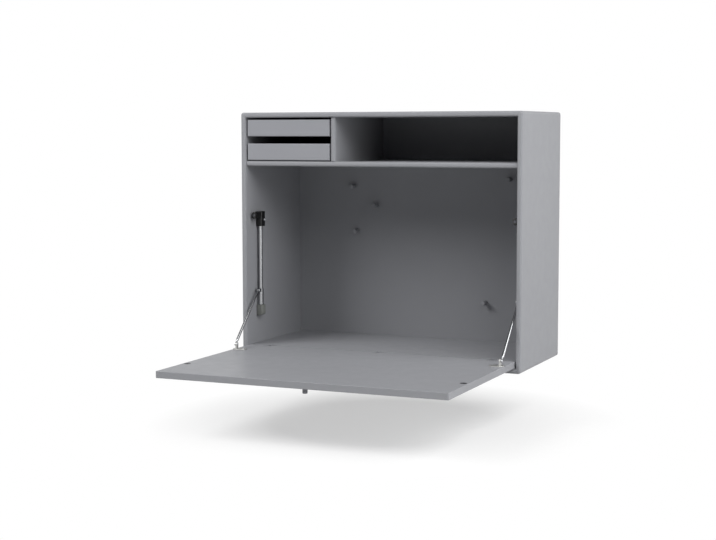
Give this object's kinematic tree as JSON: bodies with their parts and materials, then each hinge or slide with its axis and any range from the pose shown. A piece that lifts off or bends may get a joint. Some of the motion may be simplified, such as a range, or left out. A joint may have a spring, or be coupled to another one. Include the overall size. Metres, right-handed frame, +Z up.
{
  "type": "fold-down wall desk",
  "caption": "Wall-hung cabinet whose front flap folds down to a writing surface on rod stays, with tray drawers and an open compartment above a shelf.",
  "frame": {"origin": "on the wall plane, in the middle of the line of the wall screws", "axes": "+X to the right seen from the front, +Y into the wall, +Z up"},
  "size_m": [0.696, 0.7217, 0.5867],
  "materials": {
    "lacquered_board": "satin lacquer on fibreboard",
    "tray_board": "satin lacquer on fibreboard",
    "runner_strip": "satin lacquer",
    "beech_dowel": "raw beech",
    "zinc_plated_steel": "bright zinc",
    "hinge_metal": "satin grey paint",
    "painted_knob": "satin grey paint",
    "bright_chrome": "polished chrome plate",
    "nickel_plated_zinc": "nickel plate",
    "black_plastic": "moulded",
    "grey_plastic": "moulded",
    "nylon": "turned",
    "magnet_steel": "nickel plate",
    "strike_steel": "blackened"
  },
  "bodies": {
    "cabinet": {"left_side_panel": "lacquered_board", "right_side_panel": "lacquered_board", "top_panel": "lacquered_board", "bottom_panel": "lacquered_board", "back_panel": "lacquered_board", "shelf": "lacquered_board", "divider": "lacquered_board", "inner_floor": "lacquered_board", "shelf_dowels": "beech_dowel", "divider_dowels": "beech_dowel", "back_screws": "zinc_plated_steel", "drawer_runners": "runner_strip", "runner_screws": "zinc_plated_steel", "hanging_pegs": "lacquered_board", "stay_screws": "zinc_plated_steel", "hinge_floor_leaves": "hinge_metal", "floor_leaf_screws": "zinc_plated_steel", "left_stay_rail": "bright_chrome", "left_stay_top_bracket": "black_plastic", "left_catch_magnet": "magnet_steel", "left_stay_foot": "grey_plastic", "right_stay_rail": "bright_chrome", "right_stay_top_bracket": "black_plastic", "right_catch_magnet": "magnet_steel", "right_stay_foot": "grey_plastic"},
    "flap": {"flap_panel": "lacquered_board", "hinge_flap_leaves": "hinge_metal", "flap_leaf_screws": "zinc_plated_steel", "hinge_pins": "zinc_plated_steel", "flap_knob": "painted_knob", "knob_stud": "zinc_plated_steel", "strike_discs": "strike_steel", "anchor_screws": "zinc_plated_steel", "left_stay_anchor": "nickel_plated_zinc", "left_anchor_pin": "zinc_plated_steel", "right_stay_anchor": "nickel_plated_zinc", "right_anchor_pin": "zinc_plated_steel"},
    "left_slider": {"left_stay_slider": "bright_chrome", "left_slider_bush": "nylon", "left_slider_rivets": "zinc_plated_steel"},
    "left_arm": {"left_stay_arm": "bright_chrome"},
    "right_slider": {"right_stay_slider": "bright_chrome", "right_slider_bush": "nylon", "right_slider_rivets": "zinc_plated_steel"},
    "right_arm": {"right_stay_arm": "bright_chrome"},
    "lower_tray": {"lower_tray_front": "tray_board", "lower_tray_left_side": "tray_board", "lower_tray_right_side": "tray_board", "lower_tray_back": "tray_board", "lower_tray_base": "tray_board"},
    "upper_tray": {"upper_tray_front": "tray_board", "upper_tray_left_side": "tray_board", "upper_tray_right_side": "tray_board", "upper_tray_back": "tray_board", "upper_tray_base": "tray_board"}
  },
  "joints": [
    {"name": "flap_fold", "type": "hinge", "parent": "cabinet", "child": "flap", "pos_m": [0, -0.2875, -0.5202], "axis": [-1, 0, 0], "range_deg": [0, 90]},
    {"name": "left_slider_travel", "type": "slide", "parent": "cabinet", "child": "left_slider", "axis": [0, 0, 1], "range_m": [0, 0.1134]},
    {"name": "left_arm_swing", "type": "hinge", "parent": "flap", "child": "left_arm", "pos_m": [-0.328, -0.3725, -0.5002], "axis": [1, 0, 0], "range_deg": [0, 131.5]},
    {"name": "right_slider_travel", "type": "slide", "parent": "cabinet", "child": "right_slider", "axis": [0, 0, 1], "range_m": [0, 0.1134]},
    {"name": "right_arm_swing", "type": "hinge", "parent": "flap", "child": "right_arm", "pos_m": [0.328, -0.3725, -0.5002], "axis": [1, 0, 0], "range_deg": [0, 131.5]},
    {"name": "lower_tray_slide", "type": "slide", "parent": "cabinet", "child": "lower_tray", "axis": [0, -1, 0], "range_m": [0, 0.18]},
    {"name": "upper_tray_slide", "type": "slide", "parent": "cabinet", "child": "upper_tray", "axis": [0, -1, 0], "range_m": [0, 0.18]}
  ],
  "couplings": [
    {"joint": "left_slider_travel", "follows": "flap_fold", "m_per_rad": 0.072069},
    {"joint": "left_arm_swing", "follows": "flap_fold", "ratio": 1.4586},
    {"joint": "right_slider_travel", "follows": "flap_fold", "m_per_rad": 0.072069},
    {"joint": "right_arm_swing", "follows": "flap_fold", "ratio": 1.4586}
  ]
}
